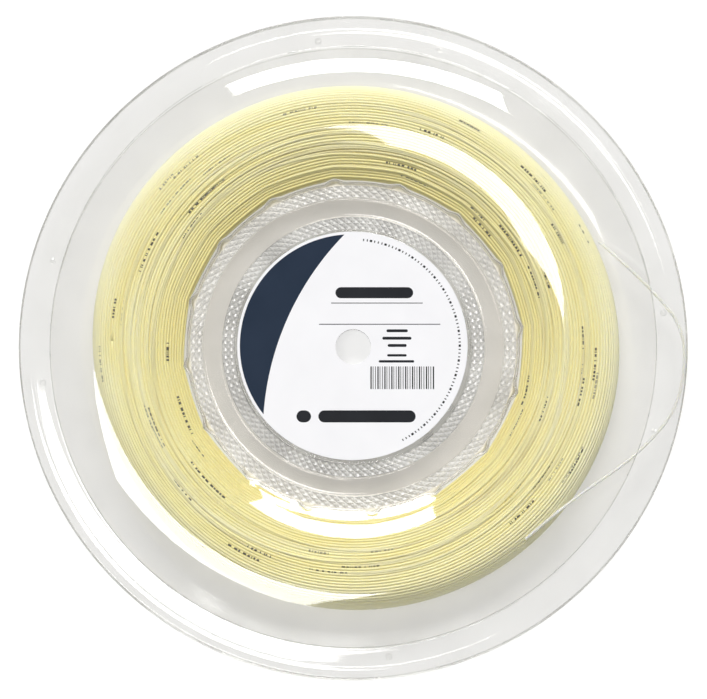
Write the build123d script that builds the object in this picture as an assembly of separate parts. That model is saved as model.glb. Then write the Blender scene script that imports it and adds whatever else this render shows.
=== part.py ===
from build123d import *
import os
from math import atan2, degrees, pi, radians, sqrt, tan

# A reel of racket string, lying flat with its label up. Two clear formed shells are welded
# back to back at the hub and nearly meet at the rim, and the string is wound between them.
# All sizes are in millimetres. +Z is the spindle axis, and the origin is below the middle of
# the reel, on the surface that it lies on. Heights in the outlines are above the weld plane.

# Clear sheet and hub
SHEET = 0.8
SPINDLE_R = 7.25
BEAD_R = (48.1, 48.8)
BEAD_HEIGHT = 0.3
BEAD_SLOPE = 0.15
CHANNEL_R = (54.2, 61.8)
CHANNEL_HEIGHT = 1.2
CHANNEL_SLOPE = 0.3
WALL_R = 67.4

# Flange, as heights of its inner face above the weld plane
DRUM_R = WALL_R + SHEET
DRUM_HEIGHT = 3.2
CREST_R = (95.0, 99.0)
CREST_HEIGHT = 9.4
FOLD_R = 124.5
FOLD_HEIGHT = 3.4
FOLD_STEP = 0.4
LIP_HEIGHT = 2.85
RIM_BEAD_R = 132.0
RIM_BEAD_HEIGHT = 2.0
RIM_R = 137.5
RIM_HEIGHT = 1.45
RIM_BEAD_STEP = 0.3

# Flutes that stiffen the drum wall, and small stacking lugs on the lip
FLUTES = 16
FLUTE_PITCH = 360 / FLUTES
FLUTE_ANGLE = 6.5
FLUTE_R = 3.0
LUGS = 4
LUG_PLACE_R = 128.5
LUG_R = 1.3
LUG_HEIGHT = 0.3
FRONT_TURN = 3 * FLUTE_PITCH
REAR_TURN = 0.0

# Paper label, stuck on a little off centre
LABEL_R = 47.4
LABEL_THICK = 0.15
LABEL_SHIFT = (-0.35, 0.45)

# String and its winding
STRING_D = 1.25
WINDING_GAP = 0.4
CROWN_R = 9.0
CROWN_CENTRE_R = 100.0
DRUM_GAP = 0.35
LAST_TURN_R = 106.9
LAST_TURN_ANGLE = 90.0
ARC_SHARE = 0.45

HALF_HEIGHT = CREST_HEIGHT + SHEET
CLEAR = 20.0  # how far cutting tools run past what they cut

# The free end of the string: off the winding, between the lips and back to the winding
TAIL = [
    (70.5, -80.4, 6.85),
    (79.9, -72.1, 6.85),
    (94.3, -60.6, 5.2),
    (113.5, -47.0, 1.2),
    (124.8, -36.0, 0.0),
    (132.3, -25.8, 0.0),
    (136.0, -12.5, 0.0),
    (136.3, 1.5, 0.0),
    (133.2, 11.0, 0.0),
    (127.0, 19.0, 0.0),
    (118.0, 28.3, 0.0),
    (108.9, 36.9, 0.0),
    (101.0, 43.8, 0.0),
]


def arc_radius(run, drop):
    """The radius of an arc that starts level and drops by drop over run."""
    return (run**2 + drop**2) / (2 * drop)


RISE_RADIUS = arc_radius(CREST_R[0] - DRUM_R, CREST_HEIGHT - DRUM_HEIGHT)
FALL_RADIUS = arc_radius(FOLD_R - CREST_R[1], CREST_HEIGHT - FOLD_HEIGHT)


def flange_height(r):
    """The height of the flange's inner face, from the drum wall to the fold."""
    if r < CREST_R[0]:
        return CREST_HEIGHT - RISE_RADIUS + sqrt(RISE_RADIUS**2 - (CREST_R[0] - r) ** 2)
    if r > CREST_R[1]:
        return CREST_HEIGHT - FALL_RADIUS + sqrt(FALL_RADIUS**2 - (r - CREST_R[1]) ** 2)
    return CREST_HEIGHT


def flange_arc(start_r, end_r, lift):
    """A stretch of the bulged flange between two radii, lift above its inner face."""
    radii = (start_r, (start_r + end_r) / 2, end_r)
    return ThreePointArc(*[(r, flange_height(r) + lift) for r in radii])


def flange_outline(start_r, end_r, lift):
    """The flange's face from the drum wall to the rim, closed down to the weld plane."""
    lip = [
        (FOLD_R, FOLD_HEIGHT + lift),
        (FOLD_R + FOLD_STEP, LIP_HEIGHT + lift),
        (RIM_BEAD_R, RIM_BEAD_HEIGHT + lift),
        (RIM_BEAD_R + RIM_BEAD_STEP, RIM_BEAD_HEIGHT - RIM_BEAD_STEP + lift),
        (RIM_R, RIM_HEIGHT + lift),
        (end_r, RIM_HEIGHT + lift),
        (end_r, 0),
    ]
    if end_r == RIM_R:
        lip.remove((end_r, RIM_HEIGHT + lift))
    return [
        flange_arc(start_r, CREST_R[0], lift),
        Line((CREST_R[0], CREST_HEIGHT + lift), (CREST_R[1], CREST_HEIGHT + lift)),
        flange_arc(CREST_R[1], FOLD_R, lift),
        Polyline(*lip),
    ]


def turned(edges):
    """A solid turned about Z from a closed outline in radius and height."""
    return revolve(make_face(Plane.XZ * (Curve() + edges)), Axis.Z)


def channel_arch(lift, spread):
    """The raised channel between the two weld bands."""
    inner, outer = CHANNEL_R[0] - spread, CHANNEL_R[1] + spread
    return ThreePointArc((inner, lift), ((inner + outer) / 2, CHANNEL_HEIGHT + lift), (outer, lift))


def outer_body():
    """The shell's outer face with everything between it and the weld plane."""
    bead_in, bead_out = BEAD_R
    bead_top = SHEET + BEAD_HEIGHT
    arch = channel_arch(SHEET, CHANNEL_SLOPE)
    hub = Polyline(
        (RIM_R, 0),
        (SPINDLE_R, 0),
        (SPINDLE_R, SHEET),
        (bead_in, SHEET),
        (bead_in + BEAD_SLOPE, bead_top),
        (bead_out - BEAD_SLOPE, bead_top),
        (bead_out, SHEET),
        arch @ 0,
    )
    wall = Polyline(arch @ 1, (WALL_R, SHEET), (WALL_R, flange_height(WALL_R) + SHEET))
    return turned([hub, arch, wall] + flange_outline(WALL_R, RIM_R, SHEET))


def string_space():
    """The space inside one shell, where the string lies, open at the rim."""
    rim = RIM_R + CLEAR
    drum = Polyline((rim, 0), (DRUM_R, 0), (DRUM_R, DRUM_HEIGHT))
    return turned([drum] + flange_outline(DRUM_R, rim, 0))


def channel_space():
    """The hollow under the raised channel."""
    return turned([channel_arch(0, 0), Line((CHANNEL_R[0], 0), (CHANNEL_R[1], 0))])


def around(count, radius, first, shape):
    """The shape repeated evenly on a circle."""
    return [Rot(0, 0, first + k * 360 / count) * Pos(radius, 0, 0) * shape for k in range(count)]


def shell():
    """One formed shell with its rim up to +Z of the weld plane and one lug line on a flute."""
    upright = (Align.CENTER, Align.CENTER, Align.MIN)
    flute = Cylinder(FLUTE_R, CLEAR, align=upright)
    pocket = Pos(0, 0, SHEET) * Cylinder(FLUTE_R - SHEET, CLEAR, align=upright)
    lip_share = (LUG_PLACE_R - FOLD_R - FOLD_STEP) / (RIM_BEAD_R - FOLD_R - FOLD_STEP)
    lip_top = LIP_HEIGHT + (RIM_BEAD_HEIGHT - LIP_HEIGHT) * lip_share + SHEET
    lug = Pos(0, 0, lip_top - LUG_HEIGHT) * Cylinder(LUG_R, 2 * LUG_HEIGHT, align=upright)
    space = string_space() - around(FLUTES, WALL_R, FLUTE_ANGLE, flute)
    body = outer_body() - around(FLUTES, WALL_R, FLUTE_ANGLE, pocket)
    return body - space - channel_space() + around(LUGS, LUG_PLACE_R, FLUTE_ANGLE, lug)


def label():
    """The round paper label on the front hub."""
    disc = Pos(*LABEL_SHIFT) * Cylinder(LABEL_R, LABEL_THICK)
    return Pos(0, 0, SHEET + LABEL_THICK / 2) * (disc - Cylinder(SPINDLE_R, CLEAR))


def winding_outline():
    """The winding's section: both bulged faces, the crown and a straight side inside the drum."""
    start_r = DRUM_R - DRUM_GAP
    crest = CREST_HEIGHT - WINDING_GAP
    radius = RISE_RADIUS - WINDING_GAP
    centre = CREST_HEIGHT - RISE_RADIUS
    radii = (start_r, (start_r + CREST_R[0]) / 2, CREST_R[0])
    rise = [(r, centre + sqrt(radius**2 - (CREST_R[0] - r) ** 2)) for r in radii]
    crown = [(CROWN_CENTRE_R, crest), (CROWN_CENTRE_R + CROWN_R, 0), (CROWN_CENTRE_R, -crest)]
    edges = [ThreePointArc(*crown)]
    for side in (1, -1):
        face = [(r, side * z) for r, z in rise]
        edges += [ThreePointArc(*face), Line(face[-1], (CROWN_CENTRE_R, side * crest))]
    start_z = rise[0][1]
    return edges + [Line((start_r, start_z), (start_r, -start_z))]


def last_turn():
    """The last quarter of the outermost turn, which lies on the crown and leads to the free end."""
    start, ahead = Vector(*TAIL[0]), Vector(*TAIL[1])
    direction = (ahead - start).normalized()
    inward = Vector(0, 0, 1).cross(direction)
    centre = start + inward * LAST_TURN_R
    end_angle = degrees(atan2(-inward.Y, -inward.X))
    arc = CenterArc(centre, LAST_TURN_R, end_angle - LAST_TURN_ANGLE, LAST_TURN_ANGLE)
    return sweep(Plane(arc @ 1, z_dir=arc % 1) * Circle(STRING_D / 2), path=arc)


def string_coil():
    """The wound string. Its first turns are straight from flute to flute."""
    inside_r = WALL_R + FLUTE_R + DRUM_GAP
    drum = Rot(0, 0, FLUTE_ANGLE) * RegularPolygon(inside_r, FLUTES)
    winding = turned(winding_outline()) - extrude(drum, CLEAR, both=True)
    return Compound([winding.solid(), last_turn().solid()])


def tail_radii(points):
    """The largest even arc at each corner of a route: 0.45 of the shorter run, tangent to both."""
    radii = []
    for before, here, after in zip(points, points[1:], points[2:]):
        arriving, leaving = here - before, after - here
        shorter = min(arriving.length, leaving.length)
        radii.append(ARC_SHARE * shorter / tan(radians(arriving.get_angle(leaving)) / 2))
    return radii


def string_tail():
    """The free end of the string, as a tube of straight runs joined by tangent arcs."""
    points = [Vector(*point) for point in TAIL]
    radii = tail_radii(points)
    path = FilletPolyline(*points, radius=radii)
    tube = sweep(Plane(path @ 0, z_dir=path % 0) * Circle(STRING_D / 2), path=path)
    expected = pi * STRING_D**2 / 4 * path.length
    print("tail radii, mm:", [round(radius, 1) for radius in radii])
    print(f"tail length {path.length:.1f} mm, volume {tube.volume:.2f} of {expected:.2f} mm3")
    return tube


def main():
    os.makedirs("parts", exist_ok=True)
    one_shell = shell()
    nodes = {
        "front_shell": Rot(0, 0, FRONT_TURN) * one_shell,
        "rear_shell": Rot(0, 0, REAR_TURN) * mirror(one_shell, Plane.XY),
        "front_label": label(),
        "string_coil": string_coil(),
        "string_tail": string_tail(),
    }
    for name, shape in nodes.items():
        export_step(Pos(0, 0, HALF_HEIGHT) * shape, f"parts/{name}.step")


main()
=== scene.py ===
"""A reel of racket string in clear formed shells, seen from above on a pale floor.

Sizes are in millimetres, and MM turns them into metres as a mesh is made. Heights in the shell
and winding outlines are above the weld plane, where the two shells meet.
"""
import math
import random
import bpy
import numpy as np
from mathutils import Matrix, Vector


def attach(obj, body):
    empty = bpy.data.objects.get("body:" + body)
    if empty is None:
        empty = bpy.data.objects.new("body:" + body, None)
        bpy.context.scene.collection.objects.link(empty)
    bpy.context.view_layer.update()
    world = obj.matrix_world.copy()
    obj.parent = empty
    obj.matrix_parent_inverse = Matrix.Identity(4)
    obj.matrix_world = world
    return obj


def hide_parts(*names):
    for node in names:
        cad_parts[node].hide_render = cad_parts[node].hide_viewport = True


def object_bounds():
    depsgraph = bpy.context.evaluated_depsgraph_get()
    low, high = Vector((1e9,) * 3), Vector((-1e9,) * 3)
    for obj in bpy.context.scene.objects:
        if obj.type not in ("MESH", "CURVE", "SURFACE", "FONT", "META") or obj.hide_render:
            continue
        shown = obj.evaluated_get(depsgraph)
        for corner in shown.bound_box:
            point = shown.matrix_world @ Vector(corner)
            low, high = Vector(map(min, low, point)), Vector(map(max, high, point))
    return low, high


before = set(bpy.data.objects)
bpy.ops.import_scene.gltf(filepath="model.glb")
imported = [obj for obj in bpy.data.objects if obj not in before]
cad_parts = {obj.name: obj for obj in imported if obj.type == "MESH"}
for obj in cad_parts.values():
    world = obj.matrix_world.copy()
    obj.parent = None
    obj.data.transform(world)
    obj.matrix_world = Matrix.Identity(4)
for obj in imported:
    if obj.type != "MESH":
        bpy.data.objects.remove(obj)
cad_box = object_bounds()

MM = 0.001
WELD_Z = (cad_box[0][2] + cad_box[1][2]) / 2

# Clear sheet and hub. GAP is between a shell and the weld plane, and the bead and the channel
# are (inner radius, outer radius, height)
SHEET = 0.8
GAP = 0.03
SPINDLE_R = 7.25
WALL_R = 67.4
BEAD = (48.1, 48.8, 0.3)
KNURL_BANDS = ((49.0, 53.8), (62.2, 67.0))
KNURL_COUNT = 110
KNURL_HEIGHT = 0.5
KNURL_STEPS_ROUND = 5
KNURL_STEPS_ACROSS = 10
SEAMS = (48.0, 48.9, 53.9, 62.1)
SEAM_DEPTH = 0.25
CHANNEL = (54.0, 62.0, 0.34)

# Flange. Slopes are (radius, degrees that the inner face climbs outward)
DRUM_R = WALL_R + SHEET
CREST_R = (95.0, 99.0)
CREST_HEIGHT = 9.4
FOLD_R = 124.5
FOLD_CREASE_R = FOLD_R + 0.25
FOLD_DROP = 0.4
FLANGE_SLOPES = ((67.0, 15.0), (70.3, 16.5), (72.5, 23.5), (73.2, 27.0), (73.8, 25.0), (79.8, 16.0),
                 (84.5, 12.2), (93.2, 4.3), (95.0, 0.0), (99.0, 0.0), (101.7, -2.8), (111.2, -12.6),
                 (114.2, -15.0), (119.0, -22.0), (120.6, -25.0), (FOLD_R, -27.0))
RIM_R = 137.5
FLUTES = 16
FLUTE_PITCH = math.radians(360 / FLUTES)
FLUTE_ANGLE = math.radians(6.5)
FLUTE_WIDTH = math.radians(4.2)
FLUTE_DEPTH = 1.5
FLUTE_FADE = 16
FLANGE_STEP = 2.0

# The lip runs from the fold to the rim past a small bead, as (radius, drop below the fold's foot)
LIP = ((125.6, 0.0), (128.0, 0.30), (130.5, 0.61), (131.7, 0.76), (132.0, 0.84), (132.2, 1.0),
       (132.4, 1.08), (134.5, 1.12), (136.85, 1.16))

# Lugs on the lip, with their profile as (radius, height from the top)
LUGS = 4
LUG_PLACE_R = 128.5
LUG_LIP_DROP = 0.36
LUG_HEIGHT = 0.28
LUG_SIDES = 24
LUG_PROFILE = ((0.2, 0.0), (0.6, -0.03), (0.9, -0.09), (1.1, -0.17), (1.23, -0.28), (1.3, -0.42))

# Label. Bars are (x, y, width, height) from the middle of the left end, in the label's plane
LABEL_R = 47.4
LABEL_SHIFT = (-0.35, 0.45)
LABEL_THICK = 0.15
LABEL_LIFT = 0.005
LABEL_SIDES = 256
INK_THICK = 0.015
LABEL_BARS = ((-7.0, 22.0, 32.0, 4.6), (-8.8, 17.7, 37.8, 0.35), (-13.8, 8.9, 50.0, 0.35),
              (14.0, 6.2, 8.8, 1.2), (12.3, 3.1, 12.0, 1.2), (14.5, 0.1, 7.8, 1.2), (14.3, -4.0, 8.0, 1.0),
              (10.8, -6.5, 14.6, 1.0), (-23.0, -29.3, 6.0, 5.0), (-14.0, -29.3, 40.0, 5.0))
TICK_R, TICK_LENGTH = 43.7, 0.9
TICK_DEGREES = range(-62, 86, 2)
TICK_HALF, WIDE_TICK_HALF = 0.22, 0.5
BLOCK_TICKS, BLOCK_LEFT, BLOCK_PITCH, BLOCK_LOW, BLOCK_HIGH = 28, 7.4, 0.95, -18.0, -8.6
BLOCK_WIDE, BLOCK_WIDER = 0.3, 0.55

# Winding
STRING_D = 1.25
WINDING_GAP = 0.4
CROWN_R = 9.0
CROWN_CENTRE_R = 100.0
FIRST_TURN_R = 70.1
TURN_PITCH = 1.2
TURN_STEPS = 160
TUBE_SIDES = 8
CROSSINGS = 26
CROSSING_R = (74, 98)
CORE_LIFT = 0.3
CORE_ROWS, CORE_COLUMNS = 130, 320
SECTION_STEPS = 60
NORMAL_REACH = 0.2

# Turns stray sideways and up and down in slow waves. Near the drum they run straighter and
# stand a little further out, which fades between two radii
NOISE_WAVES = 40
WANDER, RISE = 0.08, 0.05
FLATTENING = 0.6
DRUM_SWELL = 0.010
DRUM_FADE_R = (70, 85)

# The winding's outer edge, as (degrees, how far it is from round), which sets in between two radii
CROWN_EDGE = ((0, 0.6), (45, -1.6), (90, -0.4), (150, 0.3), (205, -3.6), (250, -0.6), (330, 0.8))
CROWN_FADE_R = (88, 108)

# Printed dashes as (length, radius), and how far they stand proud of the string
MARK_SIZES = ((0.35, 0.60), (0.4, 0.60), (0.8, 0.58), (1.1, 0.55), (1.5, 0.55))
MARK_PROUD = 0.025
MARK_GAPS = (0.45, 0.6, 1.4)
MARKS_IN_GROUP = (6, 11)
MARKS_FROM_R = 71.5
MARKS_PAST_FACE = 7

# The free end's route, the same points as in the CAD model
TAIL = (
    (70.5, -80.4, 6.85),
    (79.9, -72.1, 6.85),
    (94.3, -60.6, 5.2),
    (113.5, -47.0, 1.2),
    (124.8, -36.0, 0.0),
    (132.3, -25.8, 0.0),
    (136.0, -12.5, 0.0),
    (136.3, 1.5, 0.0),
    (133.2, 11.0, 0.0),
    (127.0, 19.0, 0.0),
    (118.0, 28.3, 0.0),
    (108.9, 36.9, 0.0),
    (101.0, 43.8, 0.0),
)


# ---------------------------------------------------------------- meshes

def grid_mesh(name, points, flat_rows=()):
    """A closed ring mesh from points[row, column, xyz]. Its rows and its columns close on themselves."""
    rows, columns = points.shape[:2]
    mesh = bpy.data.meshes.new(name)
    lower = np.arange(rows * columns).reshape(rows, columns)
    upper = np.roll(lower, -1, axis=0)
    quads = np.stack([lower, upper, np.roll(upper, -1, 1), np.roll(lower, -1, 1)], -1).reshape(-1, 4)
    mesh.from_pydata((points.reshape(-1, 3) * MM).tolist(), [], quads.tolist())
    smooth = np.ones(len(quads), bool)
    for row in flat_rows:
        smooth[row * columns:(row + 1) * columns] = False
    mesh.polygons.foreach_set("use_smooth", smooth)
    mesh.update()
    return mesh


def add_object(name, data):
    """A new object in the scene."""
    made = bpy.data.objects.new(name, data)
    bpy.context.scene.collection.objects.link(made)
    return made


def add_piece(name, mesh, material):
    """The mesh as an object that rides on the reel, with its weld plane at the reel's."""
    piece = add_object(name, mesh)
    piece.location.z = WELD_Z
    mesh.materials.append(material)
    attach(piece, "root")
    return piece


def tube_points(path, radius, sides):
    """Rings of points round a path that runs mostly level."""
    ahead = np.gradient(path, axis=0)
    ahead /= np.linalg.norm(ahead, axis=1, keepdims=True)
    side = np.cross(ahead, (0, 0, 1))
    side /= np.linalg.norm(side, axis=1, keepdims=True)
    up = np.cross(side, ahead)
    turn = -np.arange(sides) * 2 * math.pi / sides
    ring = np.cos(turn)[None, :, None] * side[:, None] + np.sin(turn)[None, :, None] * up[:, None]
    return path[:, None] + radius * ring


def joined_mesh(name, grids):
    """One mesh from several capped tubes."""
    vertices, faces = [], []
    for points in grids:
        rows, columns = points.shape[:2]
        index = np.arange(rows * columns).reshape(rows, columns) + len(vertices)
        low, high = index[:-1], index[1:]
        quads = np.stack([low, np.roll(low, -1, 1), np.roll(high, -1, 1), high], -1).reshape(-1, 4)
        faces += quads.tolist() + [index[0, ::-1].tolist(), index[-1].tolist()]
        vertices += (points.reshape(-1, 3) * MM).tolist()
    mesh = bpy.data.meshes.new(name)
    mesh.from_pydata(vertices, [], faces)
    mesh.polygons.foreach_set("use_smooth", np.ones(len(faces), bool))
    mesh.update()
    return mesh


# ---------------------------------------------------------------- shell outlines

def flange_height(r):
    """The height of the flange's inner face, from the drum wall to the fold."""
    return float(np.interp(r, PROFILE_R, PROFILE_Z))


def flange_profile():
    """Heights of the flange's inner face, summed from its slopes out from the crest."""
    radii = np.linspace(FLANGE_SLOPES[0][0], FLANGE_SLOPES[-1][0], 600)
    slopes = np.interp(radii, *zip(*FLANGE_SLOPES))
    heights = np.concatenate([[0], np.cumsum(np.tan(np.radians(slopes[1:])) * np.diff(radii))])
    return radii, heights - heights.max() + CREST_HEIGHT


PROFILE_R, PROFILE_Z = flange_profile()
FOLD_HEIGHT = flange_height(FOLD_R)


def flange_rows(lip_share):
    """(radius, inner face height) from just outside the wall to the rim.

    lip_share is how much of the lip's full slope this shell has."""
    slope = [70.0, 71.0, 72.0, 72.6, 73.2, 73.8, 74.6]
    slope += np.arange(75.8, CREST_R[0] - 1, FLANGE_STEP).tolist()
    slope += [CREST_R[0], 97.0, CREST_R[1]]
    fall = np.arange(CREST_R[1] + FLANGE_STEP, FOLD_R - 1.2, FLANGE_STEP).tolist()
    rows = [(r, flange_height(r)) for r in slope + fall]
    step_down = ((124.3, 0.02), (FOLD_R, 0.14), (FOLD_CREASE_R, 0.34), (125.0, FOLD_DROP))
    rows += [(r, FOLD_HEIGHT - drop) for r, drop in step_down]
    return rows + [(r, FOLD_HEIGHT - FOLD_DROP - drop * lip_share) for r, drop in LIP]


def knurl_rows(start_r, end_r):
    """(radius, row phase) across a knurled band two diamonds wide."""
    shares = [k / KNURL_STEPS_ACROSS for k in range(KNURL_STEPS_ACROSS + 1)]
    return [(start_r + (end_r - start_r) * share, 2 * share) for share in shares]


def shell_rows(lip_share):
    """(radius, height, flute depth, knurl phase or None) round the shell's closed outline."""
    bead_in, bead_out, bead_height = BEAD
    top = SHEET
    rows = [(SPINDLE_R, 0.25), (SPINDLE_R, 0.6), (7.4, top), (7.8, top), (20.0, top), (34.0, top),
            (47.6, top), (47.9, top), (SEAMS[0], top - SEAM_DEPTH / 2)]
    for share, lift in ((0.0, 0.0), (0.15, 0.7), (0.35, 1.0), (0.65, 1.0), (0.85, 0.7), (1.0, 0.0)):
        rows.append((bead_in + (bead_out - bead_in) * share, top + bead_height * lift))
    rows.append((SEAMS[1], top - SEAM_DEPTH))
    rows = [(r, z, 0.0, None) for r, z in rows]
    rows += [(r, top, 0.0, phase) for r, phase in knurl_rows(*KNURL_BANDS[0])]
    start, end, height = CHANNEL
    arch = [(0.0, 0.0), (0.3, 0.25), (0.5, 0.7), (0.8, 0.93), (1.6, 1.0)]
    channel = [(start + run, top + height * lift) for run, lift in arch]
    channel += [((start + end) / 2, top + height * 1.05)]
    channel += [(end - run, top + height * lift) for run, lift in reversed(arch)]
    channel = [(SEAMS[2], top - SEAM_DEPTH)] + channel + [(SEAMS[3], top - SEAM_DEPTH)]
    rows += [(r, z, 0.0, None) for r, z in channel]
    rows += [(r, top, 0.0, phase) for r, phase in knurl_rows(*KNURL_BANDS[1])]
    shoulder = flange_height(WALL_R) + SHEET
    wall = [(67.2, 0.86, 0.2), (67.38, 1.1, 0.75), (WALL_R, 1.6, 1.0), (WALL_R, 2.6, 1.0),
            (WALL_R, shoulder - 0.9, 1.0), (67.5, shoulder - 0.3, 1.0), (67.8, shoulder, 0.98),
            (68.6, flange_height(68.6) + SHEET, 0.95)]
    rows += [(r, z, depth, None) for r, z, depth in wall]
    flange = flange_rows(lip_share)
    rim = flange[-1][1]
    rows += [(r, z + SHEET, flute_fade(r), None) for r, z in flange]
    edge = ((137.25, 0.75), (RIM_R, 0.6), (RIM_R, 0.1), (137.3, -0.04))
    rows += [(r, rim + lift, 0.0, None) for r, lift in edge]
    rows += [(r, z, flute_fade(r), None) for r, z in reversed(flange)]
    drum_top = flange_height(DRUM_R)
    inner_wall = [(69.0, flange_height(69.0), 0.95), (68.35, drum_top - 0.02, 0.98),
                  (DRUM_R, drum_top - 0.4, 1.0), (DRUM_R, 2.0, 1.0), (DRUM_R, 0.5, 1.0),
                  (68.0, 0.12, 0.6), (67.6, GAP, 0.1)]
    rows += [(r, z, depth, None) for r, z, depth in inner_wall]
    hollow = [(61.9, GAP), (61.6, 0.12), (61.3, 0.25), (60.6, 0.33), (58.0, 0.35), (55.4, 0.33),
              (54.7, 0.25), (54.4, 0.12), (54.1, GAP), (48.0, GAP), (30.0, GAP), (7.8, GAP), (7.4, GAP)]
    return rows + [(r, z, 0.0, None) for r, z in hollow]


def flute_fade(r):
    """How much of a flute is left on the flange at a radius."""
    share = min(max((r - DRUM_R) / (CREST_R[0] - DRUM_R), 0), 1)
    return (1 - share)**FLUTE_FADE


def flute_bump(angle):
    """1 at the middle of each flute and 0 between them."""
    offset = (angle - FLUTE_ANGLE + FLUTE_PITCH / 2) % FLUTE_PITCH - FLUTE_PITCH / 2
    share = np.clip(1 - np.abs(offset) / FLUTE_WIDTH, 0, 1)
    return np.sin(share * math.pi / 2)**2


def knurl(angle, phase):
    """Pyramids in diamond rows, from 0 in the grooves to 1 at the tips."""
    across = angle * KNURL_COUNT / (2 * math.pi)
    waves = [1 - np.abs((x % 1) * 2 - 1) for x in (across + phase, across - phase)]
    return np.minimum(*waves)


def shell_mesh(name, side, turn, rows):
    """One formed shell as a closed thin sheet. side is 1 with the hub's knurl up and -1 down."""
    columns = KNURL_COUNT * KNURL_STEPS_ROUND
    angle = np.arange(columns) * 2 * math.pi / columns
    radius = np.array([row[0] for row in rows])[:, None]
    height = np.array([row[1] for row in rows])[:, None]
    depth = np.array([row[2] for row in rows])[:, None]
    r = radius + FLUTE_DEPTH * depth * flute_bump(angle)[None]
    z = height + 0 * r
    flat = []
    for k, row in enumerate(rows):
        if row[3] is not None:
            z[k] += KNURL_HEIGHT * knurl(angle, row[3])
            if k + 1 < len(rows) and rows[k + 1][3] is not None:
                flat.append(k)
    spin = angle + turn
    points = np.stack([r * np.cos(spin), r * np.sin(spin), side * z], -1)
    if side < 0:
        points = points[:, ::-1]
    return grid_mesh(name, points, flat)


def lug_mesh(name, side, first, top):
    """Small round lugs on the lip, in one mesh, from the angle of the first."""
    grids = []
    turn = np.arange(LUG_SIDES) * 2 * math.pi / LUG_SIDES
    for k in range(LUGS):
        angle = first + 2 * math.pi / LUGS * k
        x, y = LUG_PLACE_R * math.cos(angle), LUG_PLACE_R * math.sin(angle)
        rings = []
        for r, z in LUG_PROFILE:
            level = np.full(LUG_SIDES, side * (top + z))
            rings.append(np.stack([x + r * np.cos(turn), y + r * np.sin(turn), level], -1))
        points = np.array(rings)
        grids.append(points if side < 0 else points[::-1])
    return joined_mesh(name, grids)


# ---------------------------------------------------------------- winding

def section_path():
    """The strand centres round the winding's section, as (radius, height) closely spaced.

    It starts at the middle of the drum, climbs to the front face, and goes over the front
    face, the crown and the rear face back to the drum."""
    inset = WINDING_GAP + STRING_D / 2
    face = [(r, flange_height(r) - inset) for r in np.linspace(FIRST_TURN_R, CREST_R[0], SECTION_STEPS)]
    front = face + [(CROWN_CENTRE_R, CREST_HEIGHT - inset)]
    turn = np.linspace(math.pi / 2, -math.pi / 2, SECTION_STEPS)[1:-1]
    reach = CROWN_R - STRING_D / 2
    crown = [(CROWN_CENTRE_R + reach * math.cos(a), reach * math.sin(a)) for a in turn]
    rear = [(r, -z) for r, z in reversed(front)]
    inner = [(FIRST_TURN_R, 0.0)]
    return np.array(inner + front + crown + rear + inner)


SECTION = section_path()
SECTION_RUN = np.concatenate([[0], np.cumsum(np.linalg.norm(np.diff(SECTION, axis=0), axis=1))])


def section_at(run):
    """(radius, height) at a distance along the section path."""
    r = np.interp(run, SECTION_RUN, SECTION[:, 0])
    z = np.interp(run, SECTION_RUN, SECTION[:, 1])
    return r, z


def run_at_radius(radius, front=True):
    """The distance along the section path at which a face reaches a radius."""
    half = SECTION_RUN[-1] / 2
    near = SECTION_RUN[SECTION_RUN < half]
    run = np.interp(radius, SECTION[1:len(near), 0], near[1:])
    return run if front else SECTION_RUN[-1] - run


def chord_shape(angle, r):
    """The share of its radius that a turn has, straight between flutes near the drum."""
    offset = (angle - FLUTE_ANGLE) % FLUTE_PITCH - FLUTE_PITCH / 2
    chord = math.cos(FLUTE_PITCH / 2) / np.cos(offset)
    near, far = DRUM_FADE_R
    fade = np.clip(1 - (r - near) / (far - near), 0, 1)**1.3
    return 1 + (FLATTENING * (chord - 1) + DRUM_SWELL) * fade


def crown_edge(angle, r):
    """How far the winding's outer edge is from round, felt only near the crown."""
    degrees = [row[0] for row in CROWN_EDGE]
    offsets = [row[1] for row in CROWN_EDGE]
    degrees = [degrees[-1] - 360] + degrees + [degrees[0] + 360]
    offsets = [offsets[-1]] + offsets + [offsets[0]]
    a = np.degrees(angle) % 360
    shifts = (-16, -8, 0, 8, 16)
    offset = sum(np.interp((a + shift) % 360, degrees, offsets) for shift in shifts) / len(shifts)
    near, far = CROWN_FADE_R
    return offset * np.clip((r - near) / (far - near), 0, 1)**1.5


def smooth_noise(count, seed, waves, size):
    """Slow seeded waves along a strand of count points."""
    dice = random.Random(seed)
    x = np.linspace(0, 1, count)
    total = np.zeros(count)
    for _ in range(waves):
        cycles = dice.uniform(0.3, 1.7) * count / TURN_STEPS
        total += dice.uniform(0.4, 1) * np.sin(2 * math.pi * (cycles * x + dice.random()))
    return size * total / math.sqrt(waves)


def whole_strand():
    """Angles and points along the string, which spirals along the whole section path."""
    turns = SECTION_RUN[-1] / TURN_PITCH
    count = int(turns * TURN_STEPS)
    angle = np.linspace(0, turns * 2 * math.pi, count)
    run = np.linspace(0, SECTION_RUN[-1], count) + smooth_noise(count, 11, NOISE_WAVES, WANDER)
    run = np.clip(run, 0, SECTION_RUN[-1])
    return angle, strand_points(run, angle, smooth_noise(count, 12, NOISE_WAVES, RISE))


def strand_points(run, angle, depth):
    """Points in space on the winding's surface, depth outward from its strand centres."""
    r, z = section_at(run)
    r_next, z_next = section_at(np.minimum(run + NORMAL_REACH, SECTION_RUN[-1]))
    r_last, z_last = section_at(np.maximum(run - NORMAL_REACH, 0))
    normal = np.stack([-(z_next - z_last), r_next - r_last], -1)
    normal /= np.linalg.norm(normal, axis=1, keepdims=True)
    r = r + depth * normal[:, 0]
    z = z + depth * normal[:, 1]
    r = r * chord_shape(angle, r) + crown_edge(angle, r)
    return np.stack([r * np.cos(angle), r * np.sin(angle), z], -1)


STRAND_ANGLE, STRAND = whole_strand()


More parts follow.
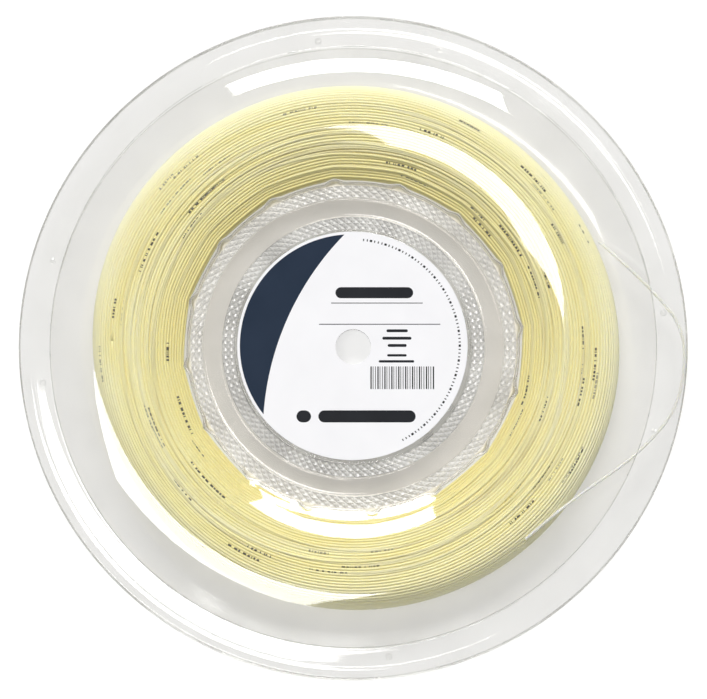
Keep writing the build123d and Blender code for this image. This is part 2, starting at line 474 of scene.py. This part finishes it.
def crossing_strands(front, seed, count):
    """Short stretches of string that lie across their neighbours, with buried ends.

    front says which face they are on."""
    dice = random.Random(seed)
    paths = []
    for _ in range(count):
        steps = int(dice.uniform(30, 90))
        share = np.linspace(0, 1, steps)
        span = steps * 2 * math.pi / TURN_STEPS
        angle = dice.uniform(0, 2 * math.pi) + share * span
        start = run_at_radius(dice.uniform(*CROSSING_R), front)
        run = start + dice.uniform(-4.5, 4.5) * (share - 0.5) + 0.3 * np.sin(share * 9)
        lift = -1.0 + 1.35 * np.sin(math.pi * share)**0.35
        paths.append(strand_points(run, angle, lift))
    return paths


def core_mesh():
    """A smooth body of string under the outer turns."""
    angle = np.arange(CORE_COLUMNS) * 2 * math.pi / CORE_COLUMNS
    runs = np.linspace(0, SECTION_RUN[-1], CORE_ROWS, endpoint=False)
    rings = [strand_points(np.full(CORE_COLUMNS, run), angle, CORE_LIFT) for run in runs]
    return grid_mesh("winding_core", np.array(rings))


def string_marks(seed, count, shares):
    """Tubes for generic printed dashes along the strands, in groups as a marking wheel leaves them.

    shares are the lowest and highest place of the groups, 0 at the drum and 1 at the crown."""
    dice = random.Random(seed)
    face_end = run_at_radius(CROWN_CENTRE_R)
    start_run = run_at_radius(MARKS_FROM_R)
    grids = []
    for _ in range(count):
        place = start_run + (face_end + MARKS_PAST_FACE - start_run) * dice.uniform(*shares)
        turn_number = round(place / TURN_PITCH)
        angle = dice.uniform(0, 2 * math.pi)
        radius = section_at(turn_number * TURN_PITCH)[0]
        lean = dice.uniform(-0.12, 0.12)
        for _ in range(dice.randint(*MARKS_IN_GROUP)):
            length, mark_r = dice.choice(MARK_SIZES)
            steps = angle + np.linspace(0, length / radius, 4)
            path = mark_points(turn_number, steps, lean, STRING_D / 2 + MARK_PROUD - mark_r)
            grids.append(tube_points(path, mark_r, TUBE_SIDES))
            angle += (length + dice.choice(MARK_GAPS)) / radius
    return grids


def mark_points(turn_number, angle, lean, lift):
    """The centre line of one printed dash on the front strand's outward side."""
    place = turn_number * 2 * math.pi + angle
    path = np.stack([np.interp(place, STRAND_ANGLE, STRAND[:, k]) for k in range(3)], -1)
    outward = np.array([0.0, 0.0, 1.0])
    r = np.hypot(path[:, 0], path[:, 1])
    if r[0] > CROWN_CENTRE_R:
        slope = (r[0] - CROWN_CENTRE_R) / (CROWN_R - STRING_D / 2)
        radial = path[0] / r[0]
        outward = np.array([radial[0] * slope, radial[1] * slope, math.sqrt(max(1 - slope**2, 0.05))])
    sideways = np.stack([path[:, 0] / r, path[:, 1] / r, 0 * r], -1)
    return path + lift * outward + lean * sideways


# ---------------------------------------------------------------- materials

def new_material(name):
    """A node material, with the parts of it that its maker works on."""
    material = bpy.data.materials.new(name)
    material.use_nodes = True
    nodes, links = material.node_tree.nodes, material.node_tree.links
    return material, nodes, links, nodes["Principled BSDF"], nodes["Material Output"]


def noise(nodes, links, scale, detail, place=None):
    """A noise texture, in object space unless place is another node's output."""
    if place is None:
        place = nodes.new("ShaderNodeTexCoord").outputs["Object"]
    texture = nodes.new("ShaderNodeTexNoise")
    texture.inputs["Scale"].default_value = scale
    texture.inputs["Detail"].default_value = detail
    links.new(place, texture.inputs["Vector"])
    return texture


def spread(nodes, links, source, low, high):
    """A number between low and high, driven by a noise."""
    ramp = nodes.new("ShaderNodeMapRange")
    ramp.inputs["From Min"].default_value = 0.3
    ramp.inputs["From Max"].default_value = 0.7
    ramp.inputs["To Min"].default_value = low
    ramp.inputs["To Max"].default_value = high
    links.new(source.outputs["Fac"], ramp.inputs["Value"])
    return ramp


def tint(nodes, links, source, first, second):
    """A colour ramp between two colours, driven by a noise."""
    ramp = nodes.new("ShaderNodeValToRGB")
    ramp.color_ramp.elements[0].position = 0.3
    ramp.color_ramp.elements[1].position = 0.7
    ramp.color_ramp.elements[0].color = (*first, 1)
    ramp.color_ramp.elements[1].color = (*second, 1)
    links.new(source.outputs["Fac"], ramp.inputs["Fac"])
    return ramp


def bump(nodes, links, source, shader, strength, distance):
    """Fine relief from a noise, on a shader's normal."""
    node = nodes.new("ShaderNodeBump")
    node.inputs["Strength"].default_value = strength
    node.inputs["Distance"].default_value = distance
    links.new(source.outputs["Fac"], node.inputs["Height"])
    links.new(node.outputs["Normal"], shader.inputs["Normal"])


def clear_material(name, low, high, rough, wave, index=1.49):
    """Clear formed sheet that lets lamp light through."""
    material, nodes, links, shader, output = new_material(name)
    shader.inputs["Transmission Weight"].default_value = 1.0
    shader.inputs["IOR"].default_value = index
    ripple = noise(nodes, links, 55, 2)
    links.new(tint(nodes, links, ripple, low, high).outputs["Color"], shader.inputs["Base Color"])
    links.new(spread(nodes, links, ripple, *rough).outputs["Result"], shader.inputs["Roughness"])
    bump(nodes, links, ripple, shader, wave, 0.0006)
    path = nodes.new("ShaderNodeLightPath")
    through = nodes.new("ShaderNodeBsdfTransparent")
    through.inputs["Color"].default_value = (0.97, 0.97, 0.965, 1)
    surface = shader.outputs["BSDF"]
    for ray in ("Is Diffuse Ray", "Is Shadow Ray"):
        mix = nodes.new("ShaderNodeMixShader")
        links.new(path.outputs[ray], mix.inputs["Fac"])
        links.new(surface, mix.inputs[1])
        links.new(through.outputs["BSDF"], mix.inputs[2])
        surface = mix.outputs["Shader"]
    links.new(surface, output.inputs["Surface"])
    return material


def string_material(name, low, high, inner, outer, rough=0.3):
    """Translucent string in faint rings, darker and browner near the drum as painted shade, and paler at the
    crown.
    """
    material, nodes, links, shader, _ = new_material(name)
    place = nodes.new("ShaderNodeTexCoord")
    distance = nodes.new("ShaderNodeVectorMath")
    distance.operation = "LENGTH"
    links.new(place.outputs["Object"], distance.inputs[0])
    ring = nodes.new("ShaderNodeCombineXYZ")
    links.new(distance.outputs["Value"], ring.inputs["X"])
    drawn_out = nodes.new("ShaderNodeVectorMath")
    drawn_out.operation = "MULTIPLY_ADD"
    drawn_out.inputs[1].default_value = (0.12, 0.12, 0.12)
    links.new(place.outputs["Object"], drawn_out.inputs[0])
    links.new(ring.outputs["Vector"], drawn_out.inputs[2])
    shade = noise(nodes, links, 230, 4, drawn_out.outputs["Vector"])
    colour = tint(nodes, links, shade, low, high)
    for near, far, share, tone in ((88, 68, 1.0, inner), (99, 109, 0.7, outer)):
        fade = nodes.new("ShaderNodeMapRange")
        fade.inputs["From Min"].default_value = near * MM
        fade.inputs["From Max"].default_value = far * MM
        fade.inputs["To Max"].default_value = share
        links.new(distance.outputs["Value"], fade.inputs["Value"])
        blend = nodes.new("ShaderNodeMixRGB")
        links.new(fade.outputs["Result"], blend.inputs["Fac"])
        links.new(colour.outputs["Color"], blend.inputs[1])
        blend.inputs[2].default_value = (*tone, 1)
        colour = blend
    links.new(colour.outputs["Color"], shader.inputs["Base Color"])
    shader.inputs["Specular IOR Level"].default_value = 0.18
    links.new(spread(nodes, links, shade, rough, rough + 0.12).outputs["Result"], shader.inputs["Roughness"])
    shader.inputs["IOR"].default_value = 1.5
    shader.inputs["Subsurface Weight"].default_value = 0.35
    shader.inputs["Subsurface Radius"].default_value = (1.0, 0.9, 0.5)
    shader.inputs["Subsurface Scale"].default_value = 0.0012
    grain = noise(nodes, links, 1500, 2)
    bump(nodes, links, grain, shader, 0.08, 0.0001)
    return material


def paper_material(name, low, high, rough, gloss=0.5):
    """Coated paper or ink on it."""
    material, nodes, links, shader, _ = new_material(name)
    shader.inputs["Specular IOR Level"].default_value = gloss
    shade = noise(nodes, links, 60, 4)
    links.new(tint(nodes, links, shade, low, high).outputs["Color"], shader.inputs["Base Color"])
    links.new(spread(nodes, links, shade, rough, rough + 0.1).outputs["Result"], shader.inputs["Roughness"])
    fibre = noise(nodes, links, 2600, 3)
    bump(nodes, links, fibre, shader, 0.12, 0.00005)
    return material


def set_transmission(material, weight):
    """Makes a finished material let less or more light through."""
    shader = material.node_tree.nodes["Principled BSDF"]
    shader.inputs["Transmission Weight"].default_value = weight


CLEAR = clear_material("clear_sheet", (0.97, 0.97, 0.966), (0.985, 0.985, 0.983), (0.02, 0.05), 0.05)
# The rear sheet's grey tint is partly the sheet's own tone and partly painted shade for the shaded floor
# under the reel, seen through it.
REAR_CLEAR = clear_material("clear_sheet_rear", (0.82, 0.815, 0.81), (0.85, 0.845, 0.84), (0.06, 0.11), 0.05)
# The hub sheet's warm grey tint is painted shade: it stands for the winding's shadow on the floor seen
# through the hub.
HUB_SHADED_CLEAR = clear_material("clear_sheet_hub_painted_shade", (0.80, 0.785, 0.76), (0.83, 0.815, 0.79), (0.05, 0.09), 0.05)
# The lip's slight grey tint is likewise partly painted shade for the shaded floor seen through the lip.
LIP_CLEAR = clear_material("clear_sheet_lip", (0.93, 0.928, 0.924), (0.945, 0.943, 0.94), (0.03, 0.07), 0.05)
WALL_CLEAR = clear_material("clear_sheet_wall", (0.89, 0.86, 0.78), (0.93, 0.91, 0.85), (0.25, 0.35), 0.1)
LUG_CLEAR = clear_material("clear_lug", (0.93, 0.93, 0.925), (0.95, 0.95, 0.945), (0.05, 0.1), 0.05, 1.12)
# Grey tint on the rim, the seams and the fold's crease: painted shade for the dark lines along these edges.
EDGE_SHADE = clear_material("edge_crease_painted_shade", (0.52, 0.52, 0.50), (0.64, 0.64, 0.62), (0.2, 0.35), 0.1)
# The knurl's grey is partly its frosted tone and partly painted shade for the shaded floor under the hub.
WELDED = clear_material("welded_knurl", (0.60, 0.59, 0.575), (0.76, 0.75, 0.735), (0.12, 0.3), 0.3)
set_transmission(WELDED, 0.4)
CROWN_TONE = (0.96, 0.93, 0.68)
# Each string material's third colour is painted shade, toward which the string darkens near the drum.
STRING = string_material("string", (0.95, 0.845, 0.40), (0.985, 0.915, 0.53), (0.90, 0.79, 0.35), CROWN_TONE)
FREE_END = string_material("string_free_end", (0.98, 0.975, 0.90), (0.99, 0.985, 0.94), (0.95, 0.92, 0.75),
                           (0.98, 0.975, 0.92))
set_transmission(FREE_END, 0.4)
# The core is darker and warmer than the string: painted shade in the gaps between turns.
CORE = string_material("string_core_painted_shade", (0.86, 0.72, 0.28), (0.92, 0.80, 0.35), (0.80, 0.64, 0.22),
                       CROWN_TONE, 0.5)
PAPER = paper_material("label_paper", (0.855, 0.855, 0.885), (0.88, 0.88, 0.91), 0.32)
NAVY = paper_material("label_navy_ink", (0.010, 0.022, 0.046), (0.014, 0.027, 0.054), 0.4, 0.15)
INK = paper_material("label_black_ink", (0.010, 0.011, 0.015), (0.015, 0.017, 0.022), 0.4, 0.15)
MARK = paper_material("string_mark_ink", (0.05, 0.045, 0.03), (0.10, 0.09, 0.06), 0.5)
FAINT_MARK = paper_material("string_mark_rubbed", (0.34, 0.32, 0.20), (0.46, 0.43, 0.28), 0.5)


# ---------------------------------------------------------------- camera and light

# In metres, but for the sensor's width and the angle
SENSOR = 36.0
VIEW_TILT = math.radians(7.5)
VIEW_DISTANCE = 4.75
SEEN_WIDTH = 0.2908
FLOOR_HALF = 20.0
FLOOR_Z = -0.0002
SKY_LOW, SKY_HIGH = 0.13, 0.26
LAMP_COLOUR = (1.0, 0.995, 0.98)


def build_camera():
    """A long lens nearly straight above the reel."""
    camera = add_object("camera", bpy.data.cameras.new("camera"))
    back = Vector((0, -math.sin(VIEW_TILT), math.cos(VIEW_TILT)))
    aim = Vector((0.0001, -0.0010, WELD_Z))
    camera.location = aim + back * VIEW_DISTANCE
    camera.rotation_mode = "QUATERNION"
    camera.rotation_quaternion = (-back).to_track_quat("-Z", "Y")
    camera.data.sensor_width = SENSOR
    camera.data.lens = SENSOR * VIEW_DISTANCE / SEEN_WIDTH
    camera.data.clip_start, camera.data.clip_end = 0.1, 100
    bpy.context.scene.camera = camera


def softbox(name, tilt, reach, far, near, roll, radiance):
    """A far rectangular light, seen from the reel at a tilt from straight up toward x and y.

    reach is half of its width and height in degrees, far and near are the distances in metres of
    the middles of its upper and lower edges, and roll turns it."""
    tilt_x, tilt_y = (math.radians(value) for value in tilt)
    reach_x, reach_y = (math.radians(value) for value in reach)
    middle = Vector((math.tan(tilt_x), math.tan(tilt_y), 1)).normalized()
    across = Vector((0, 1, 0)).cross(middle).normalized()
    across = Matrix.Rotation(math.radians(roll), 3, middle) @ across
    along = middle.cross(across)
    upper, lower = ((middle * math.cos(reach_y) + along * side * math.sin(reach_y)) * distance
                    for side, distance in ((-1, far), (1, near)))
    along = (lower - upper).normalized()
    facing = across.cross(along)
    lamp = bpy.data.lights.new(name, "AREA")
    lamp.shape = "RECTANGLE"
    lamp.size = (far + near) * math.tan(reach_x)
    lamp.size_y = (lower - upper).length
    lamp.energy = radiance * math.pi * lamp.size * lamp.size_y
    lamp.color = LAMP_COLOUR
    turn = Matrix((across, along, facing)).transposed().to_4x4()
    add_object(name, lamp).matrix_world = Matrix.Translation((upper + lower) / 2) @ turn


def build_sky():
    """A plain white studio surround that dims toward the horizon."""
    world = bpy.data.worlds.new("studio")
    world.use_nodes = True
    nodes, links = world.node_tree.nodes, world.node_tree.links
    direction = nodes.new("ShaderNodeTexCoord")
    parts = nodes.new("ShaderNodeSeparateXYZ")
    links.new(direction.outputs["Generated"], parts.inputs["Vector"])
    level = nodes.new("ShaderNodeMapRange")
    level.inputs["From Max"].default_value = 0.6
    level.inputs["To Min"].default_value = SKY_LOW
    level.inputs["To Max"].default_value = SKY_HIGH
    links.new(parts.outputs["Z"], level.inputs["Value"])
    nodes["Background"].inputs["Color"].default_value = (1, 1, 1, 1)
    links.new(level.outputs["Result"], nodes["Background"].inputs["Strength"])
    bpy.context.scene.world = world
    bpy.context.scene.view_settings.view_transform = "Standard"


def build_floor():
    """A plain pale floor that glows a little, so that it stays white round the reel."""
    mesh = bpy.data.meshes.new("floor")
    corners = [(-1, -1), (1, -1), (1, 1), (-1, 1)]
    corners = [(x * FLOOR_HALF, y * FLOOR_HALF, FLOOR_Z) for x, y in corners]
    mesh.from_pydata(corners, [], [(0, 1, 2, 3)])
    floor = add_object("floor", mesh)
    material, _, _, shader, _ = new_material("floor")
    shader.inputs["Base Color"].default_value = (0.45, 0.45, 0.447, 1)
    shader.inputs["Roughness"].default_value = 0.8
    shader.inputs["Specular IOR Level"].default_value = 0.0
    shader.inputs["Emission Color"].default_value = (1, 1, 1, 1)
    shader.inputs["Emission Strength"].default_value = 0.6
    mesh.materials.append(material)


build_camera()
softbox("softbox_top", (3.2, 46.3), (17.3, 8.0), 10.3, 7.8, 0.0, 16.0)
softbox("softbox_left", (-11.5, -5.2), (11.0, 6.8), 9.0, 9.0, -26.0, 8.5)
build_sky()
build_floor()


# ---------------------------------------------------------------- the free end

def build_free_end():
    """The free end as one NURBS curve along the given route."""
    curve = bpy.data.curves.new("free_end", "CURVE")
    curve.dimensions = "3D"
    spline = curve.splines.new("NURBS")
    spline.points.add(len(TAIL) - 1)
    for point, (x, y, z) in zip(spline.points, TAIL):
        point.co = (x * MM, y * MM, z * MM + WELD_Z, 1)
    spline.order_u = 3
    spline.use_endpoint_u = True
    spline.resolution_u = 16
    curve.bevel_depth = STRING_D / 2 * MM
    curve.bevel_resolution = 4
    curve.use_fill_caps = True
    piece = add_object("free_end", curve)
    curve.materials.append(FREE_END)
    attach(piece, "root")
    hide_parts("string_tail")


# ---------------------------------------------------------------- pieces

SHEET_FACE, KNURL_FACE, EDGE_FACE, HUB_FACE, WALL_FACE, LIP_FACE = range(6)


def row_kind(row, after):
    """Which kind of face lies between two of a shell's rows."""
    near, far = sorted((row[0], after[0]))
    creased = near == FOLD_R and far == FOLD_CREASE_R
    if row[3] is not None and after[3] is not None:
        return KNURL_FACE
    if near > RIM_R - 0.7 or near in SEAMS or far in SEAMS or creased:
        return EDGE_FACE
    if far < WALL_R - 0.1:
        return HUB_FACE
    if far < DRUM_R + 0.2:
        return WALL_FACE
    if near > FOLD_R:
        return LIP_FACE
    return SHEET_FACE


def build_shells():
    """The two formed shells. Knurled rows are frosted by the weld, and the rim is a sawn edge; the rim, the
    seams and the fold's crease are tinted grey as painted shade.
    """
    shells = (("front_sheet", 1, 3 * FLUTE_PITCH, CLEAR, 1.0), ("rear_sheet", -1, 0.0, REAR_CLEAR, 0.75))
    for name, side, turn, sheet, lip_share in shells:
        rows = shell_rows(lip_share)
        kinds = [row_kind(row, after) for row, after in zip(rows, rows[1:] + rows[:1])]
        mesh = shell_mesh(name, side, turn, rows)
        piece = add_piece(name, mesh, sheet)
        for other in (WELDED, EDGE_SHADE, HUB_SHADED_CLEAR, WALL_CLEAR, LIP_CLEAR):
            mesh.materials.append(other)
        columns = len(mesh.polygons) // len(rows)
        mesh.polygons.foreach_set("material_index", np.repeat(kinds, columns))
        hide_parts(name.replace("sheet", "shell"))
        lugs = name.replace("sheet", "lugs")
        top = FOLD_HEIGHT - FOLD_DROP - LUG_LIP_DROP * lip_share + SHEET + LUG_HEIGHT
        add_piece(lugs, lug_mesh(lugs, side, turn + FLUTE_ANGLE, top), LUG_CLEAR)


def build_winding():
    """The wound string: one strand over the front face, the crown and the rear face."""
    total = SECTION_RUN[-1]
    front_end = run_at_radius(CROWN_CENTRE_R)
    rear_start = total - front_end
    sections = (("winding_front", 0.0, front_end, 31), ("winding_crown", front_end, rear_start, None),
                ("winding_rear", rear_start, total, 33))
    for name, start, end, seed in sections:
        first, last = (round(run / total * len(STRAND)) for run in (start, end))
        paths = [STRAND[first:last + 1]]
        if seed is not None:
            paths += crossing_strands(name == "winding_front", seed, CROSSINGS)
        grids = [tube_points(path, STRING_D / 2, TUBE_SIDES) for path in paths]
        add_piece(name, joined_mesh(name, grids), STRING)
    # The core's darker colour is painted shade between the turns.
    core = add_piece("winding_core", core_mesh(), CORE)
    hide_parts("string_coil")


def build_marks():
    """Printed dashes on the string, some fresh and some rubbed."""
    for name, seed, count, shares, ink in (("string_marks", 5, 40, (0.0, 0.9), MARK),
                                           ("string_marks_faint", 9, 30, (0.4, 1.0), FAINT_MARK)):
        add_piece(name, joined_mesh(name, string_marks(seed, count, shares)), ink)


def build_label():
    """The paper disc, a little off centre, with its print as thin raised ink."""
    turn = np.arange(LABEL_SIDES) * 2 * math.pi / LABEL_SIDES
    top = LABEL_THICK
    profile = [(SPINDLE_R, 0.0), (SPINDLE_R, 0.13), (SPINDLE_R + 0.02, top), (SPINDLE_R + 0.1, top),
               (20, top), (34, top), (LABEL_R - 0.15, top), (LABEL_R - 0.04, top), (LABEL_R, 0.12),
               (LABEL_R, 0.0)]
    shift_x, shift_y = LABEL_SHIFT
    rings = []
    for r, z in profile:
        share = (r - SPINDLE_R) / (LABEL_R - SPINDLE_R)
        x = r * np.cos(turn) + shift_x * share
        y = r * np.sin(turn) + shift_y * share
        rings.append(np.stack([x, y, np.full(LABEL_SIDES, z + SHEET + LABEL_LIFT)], -1))
    mesh = grid_mesh("label_sheet", np.array(rings))
    piece = add_piece("label_sheet", mesh, PAPER)
    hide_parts("front_label")
    add_print("label_crescent", [crescent_outline()], NAVY)
    add_print("label_bars", [bar_outline(*bar) for bar in LABEL_BARS], INK)
    add_print("label_ticks", tick_outlines(), INK)


def add_print(name, outlines, ink):
    """Flat ink shapes on the label, from closed outlines in the label's plane."""
    grids = []
    low, high = SHEET + LABEL_THICK, SHEET + LABEL_THICK + INK_THICK
    for outline in outlines:
        flat = np.array(outline) + LABEL_SHIFT
        rings = [np.column_stack([flat, np.full(len(flat), z)]) for z in (low, high)]
        grids.append(np.array(rings))
    mesh = joined_mesh(name, grids)
    mesh.polygons.foreach_set("use_smooth", np.zeros(len(mesh.polygons), bool))
    add_piece(name, mesh, ink)


def crescent_outline():
    """A plain crescent down the label's left side."""
    outer_r, inner_r = 46.3, 119.0
    inner_x, inner_y = 82.2, -36.6
    reach = math.hypot(inner_x, inner_y)
    along = (reach**2 + outer_r**2 - inner_r**2) / (2 * reach)
    half_outer = math.acos(along / outer_r)
    half_inner = math.acos((reach - along) / inner_r)
    axis = math.atan2(inner_y, inner_x)
    outer_turn = np.linspace(axis + half_outer, axis + 2 * math.pi - half_outer, 120)
    inner_turn = np.linspace(axis + math.pi + half_inner, axis + math.pi - half_inner, 90)[1:-1]
    outer = np.column_stack([outer_r * np.cos(outer_turn), outer_r * np.sin(outer_turn)])
    inner = np.column_stack([inner_x + inner_r * np.cos(inner_turn), inner_y + inner_r * np.sin(inner_turn)])
    return np.concatenate([outer, inner])


def bar_outline(x, y, width, height):
    """A bar with round ends, from the middle of its left end."""
    turn = np.linspace(math.pi / 2, 3 * math.pi / 2, 12)
    half = height / 2
    left = [(x + half + half * math.cos(a), y + half * math.sin(a)) for a in turn]
    right = [(x + width - half - half * math.cos(a), y - half * math.sin(a)) for a in turn]
    return left + right


def tick_outlines():
    """Short ticks round the label's edge and an even block of ticks, in place of small print."""
    outlines = []
    for degrees in TICK_DEGREES:
        a = math.radians(degrees)
        ahead, across = np.array([math.cos(a), math.sin(a)]), np.array([-math.sin(a), math.cos(a)])
        foot, head = TICK_R * ahead, (TICK_R + TICK_LENGTH) * ahead
        half = (TICK_HALF if degrees % 8 else WIDE_TICK_HALF) * across
        outlines.append([foot - half, head - half, head + half, foot + half])
    for k in range(BLOCK_TICKS):
        x = BLOCK_LEFT + BLOCK_PITCH * k
        wide = BLOCK_WIDE if k % 3 else BLOCK_WIDER
        outlines.append([(x, BLOCK_LOW), (x + wide, BLOCK_LOW), (x + wide, BLOCK_HIGH), (x, BLOCK_HIGH)])
    return outlines


build_free_end()
build_shells()
build_winding()
build_marks()
build_label()
